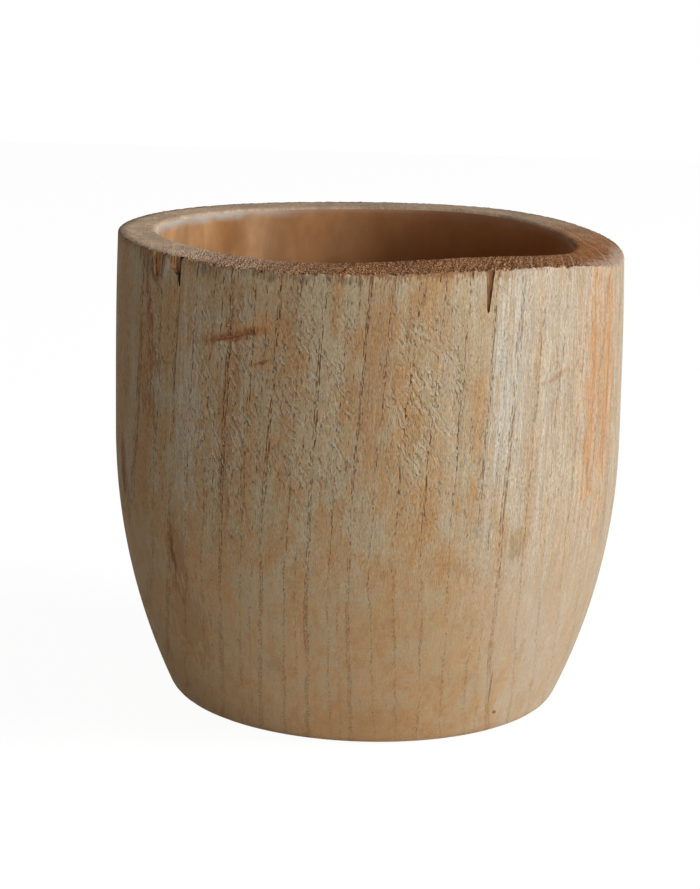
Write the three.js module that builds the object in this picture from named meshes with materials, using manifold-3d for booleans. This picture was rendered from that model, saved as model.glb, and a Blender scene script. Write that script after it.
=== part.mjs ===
// A wooden vase turned from one log. The log is bored out, the bore runs on through the foot, where a
// glued base disc closes it, and a drop-in tin liner stands inside and holds the water.
// Millimetres, +Z up. The vase stands on Z = 0, and its front, with the crack and the chip, faces -Y.
import * as THREE from 'three';
import { mergeVertices } from 'three/addons/utils/BufferGeometryUtils.js';
import Module from 'manifold-3d';

const wasm = await Module();
wasm.setup();

// Outside of the turned body
const HEIGHT = 139.3; // from the foot to the mean height of the rim
const BELLY_RADIUS = 75.7;
const BELLY_HEIGHT = 80; // the side is an arc below this height and almost upright above it
const SIDE_ARC_RADIUS = 186;
const RIM_RADIUS = 75;
const FOOT_FILLET = 6;
const LEAN = 1.42; // how far the rim's centre stands to -X of the foot's centre
const LEAN_PIVOT = 100; // height at which the leaning axis crosses the Z axis
const DRAW_IN_POWER = 3; // the wall keeps its belly radius and draws in only near the rim

// Hand-sawn rim: waves with their crests per turn, their rise and the angle of one crest in degrees
const RIM_WAVES = [
  { crests: 2, rise: 0.3, at: -78 },
  { crests: 3, rise: 0.82, at: 58 },
  { crests: 4, rise: 0.32, at: 37 },
];
const RIM_FALL = 0.85; // how far the rim falls to its outer edge on its worn side
const RIM_FALL_AT = 15; // angle of the worn side in degrees

// Bore, set by the walls that it leaves at the rim
const WALL_LEFT = 11.7;
const WALL_RIGHT = 14.9;
const WALL_FRONT = 21.5;
const WALL_BACK = 16.5;
const MOUTH_CHAMFER = 2;
const FLOOR_FILLET = 8;
const LEDGE_THICKNESS = 4; // wood between the bore's floor and the base disc

// Base disc, let into the foot from below
const DISC_THICKNESS = 9;
const DISC_CHAMFER = 0.8;
const DISC_RECESS = 0.6; // the disc's underside stays this far above the foot
const FOOT_LAND = 7; // narrowest ring of foot left round the disc
const GLUE_GAP = 0.3;

// Liner, a tin cup with a rolled lip
const LINER_WALL = 0.8;
const LINER_DROP = 34; // depth of the lip below the rim, which hides it from the side
const LINER_CORNER = 5.5;
const LINER_BEARING = 3.5; // width of the ledge under the liner's flat foot
const LINER_SIDE_CLEARANCE = 2.5; // room for the lip to pass up the bore
const LINER_FOOT_CLEARANCE = 0.5;
const LIP_RADIUS = 2;
const REST_GAP = 0.3;

// Marks that drying left on the rim: outlines as steps sideways and depths below the rim
const CRACK = { at: -64, depth: 1.4, outline: [[-1.1, 0], [-0.6, 12], [0.3, 12.2], [1.1, 0]] };
const CHIP = { at: -136.2, depth: 3.2, outline: [[-2.2, 0], [-2.2, 3.6], [1.6, 8.3], [2, 0]] };
const CUT_MARGIN = 6; // how far cutting shapes run past the wood that they cut

// Facets
const TURN_STEPS = 72;
const SMALL_TURN_STEPS = 48;
const ARC_STEPS = 8;
const WALL_STEPS = 4;
const CORNER_STEPS = 4;
const WELD_DISTANCE = 1e-4; // vertices closer than this are one

const WOOD = new THREE.MeshStandardMaterial({ color: 0xc4a17a, roughness: 0.7, metalness: 0 });
const DISC_WOOD = new THREE.MeshStandardMaterial({ color: 0xb08a63, roughness: 0.7, metalness: 0 });
const TIN = new THREE.MeshStandardMaterial({ color: 0x9fa4a6, roughness: 0.42, metalness: 0.9 });

// Sizes that follow from the ones above
const radians = THREE.MathUtils.degToRad;
const leanAt = (z) => (LEAN * (LEAN_PIVOT - z)) / HEIGHT;
const boreHalfX = RIM_RADIUS - (WALL_LEFT + WALL_RIGHT) / 2;
const boreHalfY = RIM_RADIUS - (WALL_FRONT + WALL_BACK) / 2;
const boreX = leanAt(HEIGHT) + (WALL_LEFT - WALL_RIGHT) / 2;
const boreY = (WALL_FRONT - WALL_BACK) / 2;
const boreRadius = (boreHalfX + boreHalfY) / 2;
const boreNarrow = Math.min(boreHalfX, boreHalfY) / boreRadius;
const boreArcRadius = SIDE_ARC_RADIUS - (BELLY_RADIUS - boreRadius);
const coreRadius = boreRadius / 2; // the bored-out middle of the log, clear of the rim

const discTop = DISC_RECESS + DISC_THICKNESS;
const seatTop = discTop + GLUE_GAP;
const floorHeight = seatTop + LEDGE_THICKNESS;
const side = bowl(BELLY_RADIUS, SIDE_ARC_RADIUS, BELLY_HEIGHT, 0, FOOT_FILLET);
const hollow = bowl(boreRadius, boreArcRadius, BELLY_HEIGHT, floorHeight, FLOOR_FILLET);
const footOffset = Math.hypot(boreX - leanAt(0), boreY);
const seatRadius = side.flatRadius - footOffset - FOOT_LAND;
const discRadius = seatRadius - GLUE_GAP;

const linerFlatRadius = hollow.flatRadius * boreNarrow - LINER_FOOT_CLEARANCE;
const linerMouthRadius = Math.min(boreHalfX, boreHalfY) - LINER_SIDE_CLEARANCE - LIP_RADIUS;
const linerBottom = floorHeight + REST_GAP;
const linerTop = HEIGHT - LINER_DROP;
const throatRadius = linerFlatRadius - LINER_BEARING;

// Points of an arc, angles in degrees from +X of the profile plane.
function arc(centreX, centreY, radius, from, to, steps) {
  const points = [];
  for (let i = 0; i <= steps; i += 1) {
    const angle = radians(from + ((to - from) * i) / steps);
    points.push(new THREE.Vector2(centreX + radius * Math.cos(angle), centreY + radius * Math.sin(angle)));
  }
  return points;
}

// A flat floor, a corner fillet and a side arc that turns upright at a height: the outside and the hollow.
function bowl(radius, arcRadius, uprightHeight, floor, fillet) {
  const arcX = radius - arcRadius;
  const filletRise = uprightHeight - floor - fillet;
  const flatRadius = arcX + Math.sqrt((arcRadius - fillet) ** 2 - filletRise ** 2);
  const meeting = -THREE.MathUtils.radToDeg(Math.atan2(filletRise, flatRadius - arcX));
  const points = [
    ...arc(flatRadius, floor + fillet, fillet, -90, meeting, CORNER_STEPS),
    ...arc(arcX, uprightHeight, arcRadius, meeting, 0, ARC_STEPS).slice(1),
  ];
  return { flatRadius, points };
}

// Turns a profile of (radius, height) points about the Z axis.
function turn(points, steps) {
  return new THREE.LatheGeometry(points, steps).rotateX(Math.PI / 2);
}

function movePoints(geometry, move) {
  const position = geometry.attributes.position;
  const point = new THREE.Vector3();
  for (let i = 0; i < position.count; i += 1) {
    move(point.fromBufferAttribute(position, i));
    position.setXYZ(i, point.x, point.y, point.z);
  }
  return geometry;
}

// Height of the sawn rim above its mean, from the rim's centre: waves, and the fall to the worn edge.
function rimLift(x, y) {
  const angle = Math.atan2(y, x);
  const radius = Math.hypot(x, y);
  let lift = 0;
  for (const { crests, rise, at } of RIM_WAVES) {
    lift += rise * Math.cos(crests * (angle - radians(at)));
  }
  const outward = THREE.MathUtils.clamp((radius - boreRadius) / (RIM_RADIUS - boreRadius), 0, 1);
  return lift - (RIM_FALL * outward * (1 + Math.cos(angle - radians(RIM_FALL_AT)))) / 2;
}

// Lifts a point with the rim. The waves fade out down the upright part of the wall, and near the axis.
function followRim(point) {
  const x = point.x - leanAt(HEIGHT);
  const up = THREE.MathUtils.clamp((point.z - BELLY_HEIGHT) / (HEIGHT - BELLY_HEIGHT), 0, 1);
  const out = THREE.MathUtils.clamp(Math.hypot(x, point.y) / coreRadius, 0, 1);
  point.z += up * out * rimLift(x, point.y);
}

function solid(geometry) {
  const bare = geometry.clone();
  bare.deleteAttribute('normal');
  bare.deleteAttribute('uv');
  const merged = mergeVertices(bare, WELD_DISTANCE);
  const index = merged.index.array;
  const triVerts = [];
  for (let i = 0; i < index.length; i += 3) {
    const [a, b, c] = [index[i], index[i + 1], index[i + 2]];
    if (a !== b && b !== c && c !== a) triVerts.push(a, b, c);
  }
  return new wasm.Manifold(new wasm.Mesh({
    numProp: 3,
    vertProperties: Float32Array.from(merged.attributes.position.array),
    triVerts: Uint32Array.from(triVerts),
  }));
}

function geometryOf(manifold) {
  const { vertProperties, triVerts } = manifold.getMesh();
  const geometry = new THREE.BufferGeometry();
  geometry.setAttribute('position', new THREE.BufferAttribute(vertProperties, 3));
  geometry.setIndex(new THREE.BufferAttribute(triVerts, 1));
  geometry.computeVertexNormals();
  return geometry;
}

function piece(name, geometry, material) {
  const mesh = new THREE.Mesh(geometry, material);
  mesh.name = name;
  return mesh;
}

// The log's outside: foot, side arc, a wall that draws in a little to the rim, and the rim across the top.
function outside() {
  const wall = [];
  for (let i = 1; i <= WALL_STEPS; i += 1) {
    const up = i / WALL_STEPS;
    const radius = BELLY_RADIUS - (BELLY_RADIUS - RIM_RADIUS) * up ** DRAW_IN_POWER;
    wall.push(new THREE.Vector2(radius, BELLY_HEIGHT + (HEIGHT - BELLY_HEIGHT) * up));
  }
  const profile = [
    new THREE.Vector2(0, 0),
    ...side.points,
    ...wall,
    new THREE.Vector2(boreRadius, HEIGHT),
    new THREE.Vector2(coreRadius, HEIGHT),
    new THREE.Vector2(0, HEIGHT),
  ];
  return movePoints(turn(profile, TURN_STEPS), (point) => {
    point.x += leanAt(point.z);
    followRim(point);
  });
}

// What the bore removes: the hollow with its round floor, an upright oval shaft and a chamfered mouth.
function bore() {
  const open = HEIGHT + CUT_MARGIN;
  const profile = [
    new THREE.Vector2(0, floorHeight),
    ...hollow.points,
    new THREE.Vector2(boreRadius, HEIGHT - MOUTH_CHAMFER),
    new THREE.Vector2(boreRadius + MOUTH_CHAMFER, HEIGHT),
    new THREE.Vector2(boreRadius + MOUTH_CHAMFER, open),
    new THREE.Vector2(0, open),
  ];
  return movePoints(turn(profile, TURN_STEPS), (point) => {
    point.x = boreX + (point.x * boreHalfX) / boreRadius;
    point.y = boreY + (point.y * boreHalfY) / boreRadius;
    followRim(point);
  });
}

// The seat of the base disc in the foot, and the throat between the disc and the hollow.
function seat() {
  const profile = [
    new THREE.Vector2(0, -CUT_MARGIN),
    new THREE.Vector2(seatRadius, -CUT_MARGIN),
    new THREE.Vector2(seatRadius, seatTop),
    new THREE.Vector2(throatRadius, seatTop),
    new THREE.Vector2(throatRadius, floorHeight + CUT_MARGIN),
    new THREE.Vector2(0, floorHeight + CUT_MARGIN),
  ];
  return turn(profile, SMALL_TURN_STEPS).translate(boreX, boreY, 0);
}

// A shallow notch in the outer wall below the rim, cut square to the wall.
function notch({ at, depth, outline }) {
  const points = outline.map(([sideways, below]) => new THREE.Vector2(sideways, HEIGHT - below));
  points.push(new THREE.Vector2(points.at(-1).x, HEIGHT + CUT_MARGIN));
  points.push(new THREE.Vector2(points[0].x, HEIGHT + CUT_MARGIN));
  const block = new THREE.ExtrudeGeometry(new THREE.Shape(points), {
    depth: depth + CUT_MARGIN,
    bevelEnabled: false,
  });
  const outward = new THREE.Vector3(Math.cos(radians(at)), Math.sin(radians(at)), 0);
  const upward = new THREE.Vector3(0, 0, 1);
  const across = new THREE.Vector3().crossVectors(upward, outward);
  const place = new THREE.Matrix4().makeBasis(across, upward, outward);
  const corner = outward.clone().multiplyScalar(RIM_RADIUS - depth);
  corner.x += leanAt(HEIGHT);
  return block.applyMatrix4(place.setPosition(corner));
}

function turnedBody() {
  let wood = solid(outside());
  for (const cut of [bore(), seat(), notch(CRACK), notch(CHIP)]) {
    wood = wood.subtract(solid(cut));
  }
  return piece('turned_body', geometryOf(wood), WOOD);
}

function baseDisc() {
  const profile = [
    new THREE.Vector2(0, DISC_RECESS),
    new THREE.Vector2(discRadius - DISC_CHAMFER, DISC_RECESS),
    new THREE.Vector2(discRadius, DISC_RECESS + DISC_CHAMFER),
    new THREE.Vector2(discRadius, discTop),
    new THREE.Vector2(0, discTop),
  ];
  return piece('base_disc', turn(profile, SMALL_TURN_STEPS).translate(boreX, boreY, 0), DISC_WOOD);
}

// The cup: a flat foot with a round corner, a tapered wall, a rolled lip and the same line back inside.
function liner() {
  const lipHeight = linerTop - LIP_RADIUS;
  const innerCorner = LINER_CORNER - LINER_WALL;
  const profile = [
    new THREE.Vector2(0, linerBottom),
    ...arc(linerFlatRadius, linerBottom + LINER_CORNER, LINER_CORNER, -90, 0, CORNER_STEPS),
    ...arc(linerMouthRadius, lipHeight, LIP_RADIUS, -90, 90, 2 * CORNER_STEPS),
    new THREE.Vector2(linerMouthRadius - LINER_WALL, linerTop),
    ...arc(linerFlatRadius, linerBottom + LINER_CORNER, innerCorner, 0, -90, CORNER_STEPS),
    new THREE.Vector2(0, linerBottom + LINER_WALL),
  ];
  return piece('liner', turn(profile, SMALL_TURN_STEPS).translate(boreX, boreY, 0), TIN);
}

const vase = new THREE.Group();
vase.name = 'wooden_vase';
vase.add(turnedBody(), baseDisc(), liner());

export default vase;
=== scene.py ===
"""A wooden vase turned from one log, with the base disc that closes its foot and its drop-in tin liner."""
import math

import bpy
import numpy as np
from mathutils import Matrix, Vector


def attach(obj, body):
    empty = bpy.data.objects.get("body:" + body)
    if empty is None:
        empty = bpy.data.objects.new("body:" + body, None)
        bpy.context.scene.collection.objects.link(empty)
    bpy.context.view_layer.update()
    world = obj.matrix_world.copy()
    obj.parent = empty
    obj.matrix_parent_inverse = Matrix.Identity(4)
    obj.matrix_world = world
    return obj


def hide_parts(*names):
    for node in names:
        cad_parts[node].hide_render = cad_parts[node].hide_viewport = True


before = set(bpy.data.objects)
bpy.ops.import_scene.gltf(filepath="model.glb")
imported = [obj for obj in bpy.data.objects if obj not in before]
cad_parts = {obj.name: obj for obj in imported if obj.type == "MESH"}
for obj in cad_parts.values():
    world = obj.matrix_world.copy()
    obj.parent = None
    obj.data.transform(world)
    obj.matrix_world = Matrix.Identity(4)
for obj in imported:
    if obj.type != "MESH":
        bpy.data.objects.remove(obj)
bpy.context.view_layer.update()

# Turned body, the blank. One log of pale ring-porous hardwood, turned to a barrel outside and bored out
# a little off centre, so the wall is thickest at the front. The foot is recessed for the base disc.
MM = 0.001
HEIGHT = 139.3 * MM  # from the foot to the mean height of the rim
BELLY_RADIUS = 75.7 * MM
BELLY_HEIGHT = 80 * MM
SIDE_ARC_RADIUS = 186 * MM
RIM_RADIUS = 75 * MM
SHOULDER_BEND = 3  # power by which the wall draws in from the belly to the rim
FOOT_FILLET = 6 * MM
EDGE_ROUND = 0.7 * MM  # worn outer edge of the rim
LEAN = 1.42 * MM
LEAN_PIVOT = 100 * MM
BORE_HALF = (61.7 * MM, 56.0 * MM)
BORE_CENTRE = (-2.0 * MM, 2.5 * MM)
MOUTH_ROUND = 2 * MM
FLOOR_HEIGHT = 13.9 * MM
FLOOR_FILLET = 8 * MM
SEAT_RADIUS = 42.86 * MM
SEAT_HEIGHT = 9.9 * MM
THROAT_RADIUS = 34.1 * MM
TURNS, WALL_ROWS = 600, 46  # steps round the log, and up its wall above the belly
bore_radius = sum(BORE_HALF) / 2


def lean_at(height):
    return LEAN * (LEAN_PIVOT - height) / HEIGHT


def arc(centre_r, centre_z, radius, start, end, steps):
    """Points of an arc in the profile plane, with its angles in degrees."""
    angles = [math.radians(start + (end - start) * i / steps) for i in range(steps + 1)]
    return [(centre_r + radius * math.cos(a), centre_z + radius * math.sin(a)) for a in angles]


def bowl(radius, arc_radius, floor, fillet, fillet_steps, arc_steps):
    """A corner fillet above a flat floor and a side arc that turns upright at the belly's height."""
    arc_r = radius - arc_radius
    rise = BELLY_HEIGHT - floor - fillet
    flat = arc_r + math.sqrt((arc_radius - fillet) ** 2 - rise ** 2)
    meeting = -math.degrees(math.atan2(rise, flat - arc_r))
    corner = arc(flat, floor + fillet, fillet, -90, meeting, fillet_steps)
    return corner + arc(arc_r, BELLY_HEIGHT, arc_radius, meeting, 0, arc_steps)[1:]


def draw(points):
    """Draws a line through points, one step after the other, and leaves it in edit mode."""
    bpy.ops.object.select_all(action="DESELECT")
    bpy.ops.mesh.primitive_plane_add(size=MM)
    bpy.ops.object.mode_set(mode="EDIT")
    bpy.ops.mesh.select_all(action="SELECT")
    bpy.ops.mesh.merge(type="CENTER")
    bpy.ops.transform.translate(value=points[0])
    for here, there in zip(points, points[1:]):
        step = [b - a for a, b in zip(here, there)]
        bpy.ops.mesh.extrude_region_move(TRANSFORM_OT_translate={"value": step})
    return bpy.context.object


def turn(name, profile, turns, closed):
    """Draws a line of (radius, height) points and turns it about the upright axis, as a lathe would."""
    piece = draw([(radius, 0, height) for radius, height in profile])
    piece.name = name
    bpy.ops.object.mode_set(mode="OBJECT")
    if closed:
        piece.data.vertices[0].select = True
        bpy.ops.object.mode_set(mode="EDIT")
        bpy.ops.mesh.edge_face_add()
        bpy.ops.object.mode_set(mode="OBJECT")
    lathe = piece.modifiers.new("lathe", "SCREW")
    lathe.steps = turns
    lathe.render_steps = turns
    lathe.use_merge_vertices = True
    lathe.merge_threshold = 0.002 * MM
    bpy.ops.object.modifier_apply(modifier=lathe.name)
    face_outwards(piece)
    return piece


def face_outwards(piece):
    bpy.context.view_layer.objects.active = piece
    bpy.ops.object.mode_set(mode="EDIT")
    bpy.ops.mesh.select_all(action="SELECT")
    bpy.ops.mesh.normals_make_consistent(inside=False)
    bpy.ops.object.mode_set(mode="OBJECT")


def points_of(piece):
    flat = np.empty(len(piece.data.vertices) * 3, np.float32)
    piece.data.vertices.foreach_get("co", flat)
    return flat.reshape(-1, 3).astype(float)


def move_points(piece, points):
    piece.data.vertices.foreach_set("co", points.astype(np.float32).ravel())
    piece.data.update()


def line(start, end, steps):
    """Points of a straight stretch of the profile, without its start."""
    return [tuple(a + (b - a) * i / steps for a, b in zip(start, end)) for i in range(1, steps + 1)]


outside = bowl(BELLY_RADIUS, SIDE_ARC_RADIUS, 0, FOOT_FILLET, fillet_steps=6, arc_steps=30)
for row in range(1, WALL_ROWS + 1):
    up = row / WALL_ROWS
    wall_height = BELLY_HEIGHT + (HEIGHT - EDGE_ROUND - BELLY_HEIGHT) * up
    outside.append((BELLY_RADIUS - (BELLY_RADIUS - RIM_RADIUS) * up ** SHOULDER_BEND, wall_height))
outside += arc(RIM_RADIUS - EDGE_ROUND, HEIGHT - EDGE_ROUND, EDGE_ROUND, 0, 90, steps=3)[1:]

mouth = arc(bore_radius + MOUTH_ROUND, HEIGHT - MOUTH_ROUND, MOUTH_ROUND, 90, 180, steps=5)
hollow_arc = SIDE_ARC_RADIUS - BELLY_RADIUS + bore_radius
hollow = bowl(bore_radius, hollow_arc, FLOOR_HEIGHT, FLOOR_FILLET, fillet_steps=5, arc_steps=10)
bored = mouth + line(mouth[-1], hollow[-1], steps=10) + hollow[-2::-1]
throat = [(THROAT_RADIUS, FLOOR_HEIGHT), (THROAT_RADIUS, SEAT_HEIGHT)]
seat_corner, seat_foot = (SEAT_RADIUS, SEAT_HEIGHT), (SEAT_RADIUS, 0)
seat = throat + line(throat[-1], seat_corner, steps=2) + line(seat_corner, seat_foot, steps=3)
rim = line(outside[-1], mouth[0], steps=22)[:-1]
foot = line(seat[-1], outside[0], steps=4)[:-1]
profile = outside + rim + bored + seat + foot

# Each row of the profile keeps to the leaning axis of the log, to the axis of the bore, or lies between.
rim_share = [(i + 1) / (len(rim) + 1) for i in range(len(rim))]
foot_share = [1 - (i + 1) / (len(foot) + 1) for i in range(len(foot))]
bore_share = np.array([0] * len(outside) + rim_share + [1] * len(bored + seat) + foot_share)
oval_share = np.array([0] * len(outside) + rim_share + [1] * len(bored) + [0] * len(seat + foot))

body = turn("turned_log", profile, TURNS, closed=True)
x, y, z = points_of(body).reshape(TURNS, len(profile), 3).transpose(2, 0, 1)
oval_x, oval_y = (half / bore_radius - 1 for half in BORE_HALF)
bore_x = BORE_CENTRE[0] + x * (1 + oval_share * oval_x)
bore_y = BORE_CENTRE[1] + y * (1 + oval_share * oval_y)
x = x + lean_at(z) + bore_share * (bore_x - x - lean_at(z))
y = y + bore_share * (bore_y - y)

# Turned body, the rim. It was sawn across by hand, so it waves, and it falls to its worn right side.
# The waves run out down the upright part of the wall.
RIM_WAVES = ((2, 0.30 * MM, -78), (3, 0.82 * MM, 58), (4, 0.32 * MM, 37))  # crests, rise, angle of a crest
RIM_FALL = 0.85 * MM
RIM_FALL_AT = 15
BACK_RISE, BACK_RISE_BEND = 0.8 * MM, 1.5
WORN_FALL = 1.9 * MM  # the outer edge is worn round near the right end
WORN_AT = -16
WORN_EDGE_BEND, WORN_END_BEND = 4, 24  # powers that keep the wear to the outer edge, and to that end
rim_x = lean_at(HEIGHT)
around = np.arctan2(y, x - rim_x)
lift = sum(rise * np.cos(crests * (around - math.radians(at))) for crests, rise, at in RIM_WAVES)
outward = np.clip((np.hypot(x - rim_x, y) - bore_radius) / (RIM_RADIUS - bore_radius), 0, 1)
lift = lift - RIM_FALL * outward * (1 + np.cos(around - math.radians(RIM_FALL_AT))) / 2
lift = lift + BACK_RISE * np.clip(np.sin(around), 0, 1) ** BACK_RISE_BEND
at_worn_end = np.clip(np.cos(around - math.radians(WORN_AT)), 0, 1) ** WORN_END_BEND
lift = lift - WORN_FALL * outward ** WORN_EDGE_BEND * at_worn_end
z = z + lift * np.clip((z - BELLY_HEIGHT) / (HEIGHT - BELLY_HEIGHT), 0, 1)
move_points(body, np.stack((x, y, z), axis=-1).reshape(-1, 3))

# Turned body, its rough skin. The saw left the rim coarse and its outer edge frayed, the tool tore the
# grain in patches round the upper front, and the bore has faint ripples.
TORN_PATCHES = (  # angle from the front, height, half width and half height of each patch
    (-31, 101 * MM, 17 * MM, 38 * MM),
    (-12, 107 * MM, 15 * MM, 36 * MM),
    (12, 106 * MM, 12 * MM, 30 * MM),
    (-54, 110 * MM, 8 * MM, 28 * MM),
)
ROUGH_SKIN = {  # grain size, depth and direction of each kind of roughness
    "sawn": (1.1 * MM, 0.6 * MM, "Z"),
    "frayed": (0.9 * MM, 1.5 * MM, "NORMAL"),
    "torn": (2.0 * MM, 0.22 * MM, "NORMAL"),
    "rippled": (7 * MM, 0.5 * MM, "NORMAL"),
}
SAWN_SPREAD = 60  # degrees from the front over which the coarse sawing dies away
FRAYED_AT, FRAYED_SPREAD = 8, 75


def wall_radius(height):
    if height < BELLY_HEIGHT:
        return BELLY_RADIUS - SIDE_ARC_RADIUS + math.sqrt(SIDE_ARC_RADIUS ** 2 - (BELLY_HEIGHT - height) ** 2)
    up = (height - BELLY_HEIGHT) / (HEIGHT - BELLY_HEIGHT)
    return BELLY_RADIUS - (BELLY_RADIUS - RIM_RADIUS) * up ** SHOULDER_BEND


def weigh(piece, name, weights):
    """Paints a vertex group from one weight for each vertex."""
    group = piece.vertex_groups.new(name=name)
    for index in np.flatnonzero(weights > 0.01):
        group.add([int(index)], float(weights[index]), "REPLACE")


def roughen(piece, group, grain, strength, direction):
    """Pushes the vertices of a group about with a cloudy noise of the given grain size."""
    clouds = bpy.data.textures.new(group, "CLOUDS")
    clouds.noise_scale = grain
    clouds.noise_depth = 1
    rough = piece.modifiers.new(group, "DISPLACE")
    rough.texture = clouds
    rough.texture_coords = "LOCAL"
    rough.vertex_group = group
    rough.strength = strength
    rough.direction = direction
    bpy.ops.object.modifier_apply(modifier=rough.name)


row_number = np.tile(np.arange(len(profile)), TURNS)
first_rim, first_bored = len(outside), len(outside + rim)
from_front = np.degrees(np.arctan2(x, -y)).ravel()
on_wall = row_number < first_rim - 3
torn = np.zeros(len(row_number))
for at, height, half_width, half_height in TORN_PATCHES:
    sideways = np.radians(from_front - at) * BELLY_RADIUS / half_width
    upward = (z.ravel() - height) / half_height
    torn = np.maximum(torn, np.clip(1.3 - np.hypot(sideways, upward), 0, 1))
on_rim = (row_number >= first_rim - 1) & (row_number < first_bored + 2)
on_edge = (row_number >= first_rim - 3) & (row_number <= first_rim)
in_bore = (row_number > first_bored + 3) & (row_number < first_bored + len(bored) - 4)
weigh(body, "sawn", on_rim * np.clip(1.6 - np.abs(from_front) / SAWN_SPREAD, 0.3, 1))
weigh(body, "frayed", on_edge * np.clip(1.5 - np.abs(from_front - FRAYED_AT) / FRAYED_SPREAD, 0.25, 1))
weigh(body, "torn", torn * on_wall)
weigh(body, "rippled", in_bore.astype(float))
for skin, (grain_size, depth, direction) in ROUGH_SKIN.items():
    roughen(body, skin, grain_size, depth, direction)

# Turned body, what drying and knocks took out of it: a split and a broken-out chip at the rim, small
# nicks in the rim's edge, and shallow scars across the grain. They show split wood.
CUT_MARGIN = 3 * MM
SPLITS = (  # angle from the front, depth, slope of the floor, outline as (sideways, below the rim) in mm
    (26.0, 0.5, 0.14, (
        (-1.3, 0), (-1.15, 2.2), (-1.1, 5.0), (-0.95, 7.6), (-0.9, 10.0), (-0.55, 10.9), (-0.1, 10.6),
        (0.15, 8.5), (0.5, 6), (0.75, 3.5), (0.9, 1.8), (1.3, 0),
    )),
    (-46.2, 1.5, 0.40, (
        (-2.4, 0), (-2.5, 2.4), (-1.8, 3.6), (-0.7, 4.2), (0.2, 5.0), (0.9, 5.6), (1.6, 4.5), (2.0, 2.5),
        (2.1, 0),
    )),
    (-44.9, 3.0, 0.0, (
        (-0.2, 0), (-0.5, 3.0), (-0.2, 6.5), (0.2, 8.4), (0.7, 8.3), (0.8, 5.5), (1.0, 2.5), (1.1, 0),
    )),
    (-50.3, 1.6, 0.0, ((-0.5, 0), (-1.2, 4.6), (-0.8, 4.9), (0.4, 0))),
    (-52.6, 0.7, -0.10, ((-2.4, 0), (-2.2, 3), (-1.2, 6.5), (-0.2, 7.4), (0.8, 6.4), (1.7, 3.2), (1.9, 0))),
    (14.8, 0.4, 0.0, ((-0.3, 0), (-0.12, 2.0), (0.12, 2.0), (0.35, 0))),
    (21.9, 0.4, 0.0, ((-0.3, 0), (-0.1, 1.6), (0.1, 1.6), (0.3, 0))),
)
SCARS = (  # angle from the front, height, length, width, depth and tilt
    (-30.4, 119.0 * MM, 15 * MM, 0.8 * MM, 0.5 * MM, 15),
    (-22.4, 113.3 * MM, 5 * MM, 0.5 * MM, 0.25 * MM, 20),
    (34.7, 18.0 * MM, 12 * MM, 0.4 * MM, 0.2 * MM, 100),
    (-47.9, 54.0 * MM, 9 * MM, 0.9 * MM, 0.3 * MM, 88),
)
split_wood = bpy.data.materials.new("split_wood")


def stand_at(piece, at):
    """Turns a piece made at the front to its angle round the axis, and fixes it there."""
    piece.rotation_euler.z = math.radians(at)
    piece.location.x = rim_x
    bpy.ops.object.transform_apply(location=True, rotation=True, scale=True)
    face_outwards(piece)


def split_cutter(at, depth, slope, outline):
    """A block with the outline of a split, whose floor slopes to one side, open above the rim."""
    corners = [(side * MM, HEIGHT - below * MM) for side, below in outline]
    corners += [(corners[-1][0], HEIGHT + CUT_MARGIN), (corners[0][0], HEIGHT + CUT_MARGIN)]
    floors = [-RIM_RADIUS + depth * MM + slope * side for side, up in corners]
    cutter = draw([Vector((side, floor, up)) for (side, up), floor in zip(corners, floors)])
    bpy.ops.mesh.select_all(action="SELECT")
    bpy.ops.mesh.edge_face_add()
    bpy.ops.mesh.extrude_region_move(TRANSFORM_OT_translate={"value": (0, -depth * MM - CUT_MARGIN, 0)})
    bpy.ops.object.mode_set(mode="OBJECT")
    stand_at(cutter, at)
    return cutter


def scar_cutter(at, height, length, width, depth, tilt):
    """A long pointed lens, laid on the wall, that digs a shallow scar."""
    bpy.ops.object.select_all(action="DESELECT")
    bpy.ops.mesh.primitive_uv_sphere_add(segments=64, ring_count=32, radius=0.5)
    cutter = bpy.context.object
    cutter.scale = (length, 2 * depth, width)
    cutter.rotation_euler.y = -math.radians(tilt)
    bpy.ops.object.transform_apply(location=True, rotation=True, scale=True)
    cutter.rotation_euler.x = math.asin(max(BELLY_HEIGHT - height, 0) / SIDE_ARC_RADIUS)
    cutter.location = (0, -wall_radius(height), height)
    bpy.ops.object.transform_apply(location=True, rotation=True, scale=True)
    stand_at(cutter, at)
    return cutter


def carve(piece, cutter):
    cutter.data.materials.append(split_wood)
    cut = piece.modifiers.new("cut", "BOOLEAN")
    cut.operation = "DIFFERENCE"
    cut.solver = "MANIFOLD"
    cut.object = cutter
    cut.material_mode = "TRANSFER"
    bpy.context.view_layer.objects.active = piece
    bpy.ops.object.modifier_apply(modifier=cut.name)
    bpy.data.objects.remove(cutter)


for split in SPLITS:
    carve(body, split_cutter(*split))
for scar in SCARS:
    carve(body, scar_cutter(*scar))

# Turned body, its wood. The rings cross the front of the log as nearly flat sheets, and where they come to
# the surface the pores stand in thin dashed lines. Grey and tan wood run in streaks between the lines.
RING_HEART = (-120.0, -38.0)  # what the rings curve about, in mm
RING_STEP = 6.4  # between lines of pores on the wall, in mm
RING_SWAY, RING_SWAY_SIZE = 9.0, (45, 45, 300)  # how far the rings wander, and over what lengths, in mm
GRAIN_LEAN = 0.05  # the grain drifts to the right on its way up
TAN = (0.570, 0.338, 0.155, 1)
WARM = (0.635, 0.408, 0.212, 1)
GREY = (0.580, 0.455, 0.284, 1)
CREAM = (0.660, 0.540, 0.400, 1)
CHALK = (0.700, 0.635, 0.515, 1)
ORANGE = (0.660, 0.335, 0.142, 1)
RUST = (0.360, 0.140, 0.052, 1)
UMBER = (0.150, 0.080, 0.040, 1)
# grime, and painted shade under the rim's frayed edge
GRIME_AND_SHADE = (0.130, 0.088, 0.052, 1)
BROWN = (0.490, 0.265, 0.120, 1)
OLIVE = (0.460, 0.300, 0.140, 1)
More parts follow.
